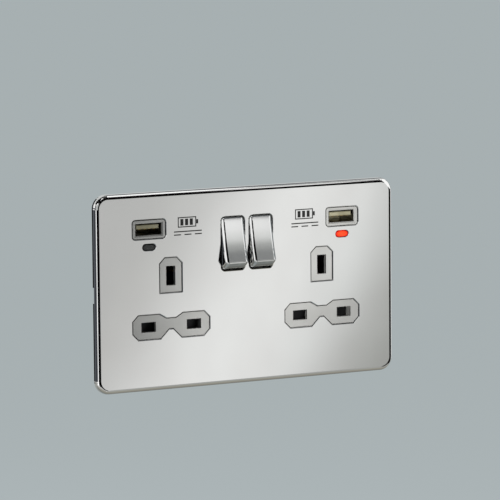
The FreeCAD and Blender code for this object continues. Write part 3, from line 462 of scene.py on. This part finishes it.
def studio_world():
    # what the polished parts mirror is laid out by direction, and what lights the rest is even
    world = bpy.data.worlds.new("soft_studio")
    bpy.context.scene.world = world
    world.use_nodes = True
    tree = world.node_tree
    tree.nodes.clear()
    per_radian = 180 / math.pi
    # a direction's turn to the right of straight in front, and its rise over the level, in degrees
    way = add(tree, "SeparateXYZ", {"Vector": add(tree, "TexCoord").outputs["Generated"]})
    ahead = add(tree, "Math", {0: way.outputs["Y"], 1: -1.0}, operation="MULTIPLY").outputs["Value"]
    turn = add(tree, "Math", {0: way.outputs["X"], 1: ahead}, operation="ARCTAN2").outputs["Value"]
    turn = add(tree, "Math", {0: turn, 1: per_radian}, operation="MULTIPLY").outputs["Value"]
    rise = add(tree, "Math", {0: way.outputs["Z"]}, operation="ARCSINE").outputs["Value"]
    rise = add(tree, "Math", {0: rise, 1: per_radian}, operation="MULTIPLY").outputs["Value"]

    def between(value, low, high, soft):
        # 1 between two limits, 0 outside, with soft edges
        return band(tree, value, (low - soft, low + soft), (high - soft, high + soft))

    def shades(value, start, end, stops):
        # the colours of a ramp laid between two values
        share = add(tree, "MapRange", {"Value": value, "From Min": start, "From Max": end,
                                       "To Min": 0.0, "To Max": 1.0}).outputs["Result"]
        return add(tree, "ValToRGB", {"Fac": share}, stops).outputs["Color"]

    def cover(under, mask, colour, gain):
        # a colour, or what a ramp gives, over what is there
        over = colour if isinstance(colour, bpy.types.NodeSocket) else [gain * c for c in linear(colour)]
        return add(tree, "Mix", {MIX_SHARE: mask, MIX_FIRST: under, MIX_SECOND: over},
                   data_type="RGBA").outputs[MIX_RESULT]

    def lay(under, colour, turns, rises, soft=0.7, gain=1.0, around=turn):
        # a card over what is there, between two turns and two rises
        first = between(around, turns[0], turns[1], soft)
        second = between(rise, rises[0], rises[1], soft)
        mask = add(tree, "Math", {0: first, 1: second}, operation="MULTIPLY").outputs["Value"]
        return cover(under, mask, colour, gain)

    # the room: pale all round, darker towards the ground
    room = shades(rise, -50.0, 50.0, [(0.0, "#8f989c"), (0.3, "#a9aba6"), (0.45, "#c6c8c7"),
                                      (0.6, "#cfd1d1"), (1.0, "#dcdede")])
    # the big soft panel that the plate faces, shaded off along a slant
    slant = add(tree, "Math", {0: rise, 1: -0.5, 2: turn}, operation="MULTIPLY_ADD").outputs["Value"]
    panel = shades(slant, 27.5, 33.5, [
        (0.04, "#c8c8c7"), (0.19, "#c7c7c6"), (0.25, "#cfcfcd"), (0.325, "#d7d7d6"), (0.367, "#e2e2e1"),
        (0.433, "#eeeeed"), (0.5, "#f8f8f7"), (0.567, "#fbfbfa"), (0.675, "#f7f7f6"), (0.75, "#f1f2f1"),
        (0.817, "#e0e1e0"), (0.892, "#c5c6c4"), (0.983, "#adaeab")])
    room = lay(room, panel, (-60.0, 47.0), (-24.0, -3.0))
    # round the panel's upper left, a dark ring and then a bright one: the lines in the turned rim; their
    # reach counts a degree of turn as 0.5 and a degree of rise as 0.555
    ring_turn = 24.2
    ring_rise = -6.0
    left = add(tree, "MapRange", {"Value": turn, "From Min": ring_turn, "From Max": ring_turn - 200.0,
                                  "To Min": 0.0, "To Max": 100.0}).outputs["Result"]
    above = add(tree, "MapRange", {"Value": rise, "From Min": ring_rise, "From Max": 90.0,
                                   "To Min": 0.0, "To Max": 53.3}).outputs["Result"]
    reach = add(tree, "CombineXYZ", {"X": left, "Y": above}).outputs["Vector"]
    reach = add(tree, "VectorMath", {0: reach}, operation="LENGTH").outputs["Value"]
    # both rings stop short of the ground, of the right rim and of the room's left end
    for colour, near, far, gain in (("#060606", 0.4, 12.4, 1.0), ("#ffffff", 12.4, 17.0, 1.4)):
        mask = between(reach, near, far, 0.25)
        for value, low, high, soft in ((rise, -19.0, 40.0, 1.0), (turn, -30.0, 34.0, 0.5)):
            part = between(value, low, high, soft)
            mask = add(tree, "Math", {0: mask, 1: part}, operation="MULTIPLY").outputs["Value"]
        room = cover(room, mask, colour, gain)
    for colour, turns, rises, soft, gain in RIM_CARDS:
        room = lay(room, colour, turns, rises, soft, gain)
    # the ceiling seen in the rockers' hollow faces, pale, grey and paler again, and a dark strip beside it
    ceiling = shades(rise, 12.0, 32.0, [
        (0.0, "#ffffff"), (0.12, "#fafafa"), (0.2, "#eeefee"), (0.27, "#dfe0df"), (0.35, "#b4b6b4"),
        (0.47, "#868888"), (0.6, "#7e8080"), (0.75, "#9c9e9e"), (0.85, "#d8d8da"), (1.0, "#5e6064")])
    lean = add(tree, "Math", {0: rise, 1: -0.2, 2: turn}, operation="MULTIPLY_ADD").outputs["Value"]
    room = lay(room, "#060606", (25.6, 29.0), (-3.0, 20.0), soft=0.5, around=lean)
    room = lay(room, ceiling, (23.6, 25.7), (12.2, 70.0), soft=0.25, around=lean)
    for colour, turns, rises, soft, gain in ROCKER_CARDS:
        room = lay(room, colour, turns, rises, soft, gain)
    # the ground: warm and pale far off, darker nearer, and pale and cool again straight below
    ground = shades(rise, -70.0, -20.0, [(0.0, "#aeb2b1"), (0.2, "#9ca09f"), (0.4, "#787a77"),
                                         (0.65, "#8a8980"), (1.0, "#b0ada3")])
    room = lay(room, ground, (-60.0, 120.0), (-72.0, -24.0))
    rays = add(tree, "LightPath")
    mirrored = add(tree, "Background", {"Color": room, "Strength": 1.0}).outputs["Background"]
    even = add(tree, "Background", {"Color": linear("#f2f4f5"), "Strength": 0.125}).outputs["Background"]
    pale = add(tree, "Background", {"Color": linear("#b7c1c3"), "Strength": 1.0}).outputs["Background"]
    light = add(tree, "MixShader", {0: rays.outputs["Is Glossy Ray"], 1: even, 2: mirrored})
    seen = add(tree, "MixShader", {0: rays.outputs["Is Camera Ray"], 1: light.outputs["Shader"], 2: pale})
    add(tree, "OutputWorld", {"Surface": seen.outputs["Shader"]})


def soft_light(name, place, aim, size, power, colour):
    # a square diffuse lamp, not seen in the chrome
    lamp = bpy.data.lights.new(name, "AREA")
    lamp.size = size
    lamp.energy = power
    lamp.color = linear(colour)[:3]
    holder = bpy.data.objects.new(name, lamp)
    bpy.context.scene.collection.objects.link(holder)
    holder.location = place
    holder.rotation_euler = Vector(aim).to_track_quat("-Z", "Y").to_euler()
    holder.visible_glossy = False
    holder.visible_camera = False


def pale_floor():
    # a matt paper floor, seen at nearly its own colour and holding only a soft shadow
    half_width = 15.0
    below = 0.3
    own_glow = 0.67
    finish = bpy.data.materials.new("pale_studio_paper")
    finish.use_nodes = True
    tree = finish.node_tree
    tree.nodes.clear()
    matt = add(tree, "BsdfDiffuse", {"Color": linear("#c9d2d4")}).outputs["BSDF"]
    clear = add(tree, "Emission", {"Color": linear("#c3cdcf"), "Strength": 1.0}).outputs["Emission"]
    seen = add(tree, "LightPath").outputs["Is Camera Ray"]
    share = add(tree, "Math", {0: seen, 1: own_glow}, operation="MULTIPLY").outputs["Value"]
    both = add(tree, "MixShader", {0: share, 1: matt, 2: clear}).outputs["Shader"]
    add(tree, "OutputMaterial", {"Surface": both})
    shape = bmesh.new()
    bmesh.ops.create_grid(shape, x_segments=1, y_segments=1, size=half_width,
                          matrix=Matrix.Translation((0.0, 0.0, -below)))
    floor = new_object("studio_floor", shape, finish)
    floor.visible_glossy = False


def photo_camera():
    # the camera's turn from straight in front, its dip and its roll, in degrees, and its place
    turn, dip, roll = (math.radians(angle) for angle in (26.93, 7.23, -0.507))
    place = Vector((-737.1, -1457.3, 222.4)) * MM
    ahead = Vector((math.sin(turn) * math.cos(dip), math.cos(turn) * math.cos(dip), -math.sin(dip)))
    right = Vector((math.cos(turn), -math.sin(turn), 0.0))
    up = right.cross(ahead)
    level = math.cos(roll) * right + math.sin(roll) * up
    upright = -math.sin(roll) * right + math.cos(roll) * up
    camera = bpy.data.cameras.new("photo_camera")
    camera.lens = 266.4
    camera.sensor_width = 36.0
    camera.clip_end = 60.0
    holder = bpy.data.objects.new("photo_camera", camera)
    bpy.context.scene.collection.objects.link(holder)
    turned = Matrix((level, upright, -ahead)).transposed().to_4x4()
    holder.matrix_world = Matrix.Translation(place) @ turned
    bpy.context.scene.camera = holder


studio_world()
# two lamps close to the plate shade the pads from corner to corner, and two light the back
soft_light("key_low", place=(0.0, -0.075, -0.012), aim=(0.0, 1.0, 0.0), size=0.04, power=0.055,
           colour="#fffefc")
soft_light("key_high", place=(0.045, -0.075, 0.03), aim=(0.0, 1.0, 0.0), size=0.04, power=0.055,
           colour="#fffefc")
soft_light("fill_left_back", place=(-0.45, 0.6, 0.4), aim=(0.45, -0.6, -0.4), size=0.5, power=6.0,
           colour="#f4f8ff")
soft_light("fill_right_back", place=(0.5, 0.5, 0.15), aim=(-0.5, -0.5, -0.15), size=0.5, power=5.0,
           colour="#fffaf4")
pale_floor()
photo_camera()
bpy.context.scene.view_settings.view_transform = "Standard"
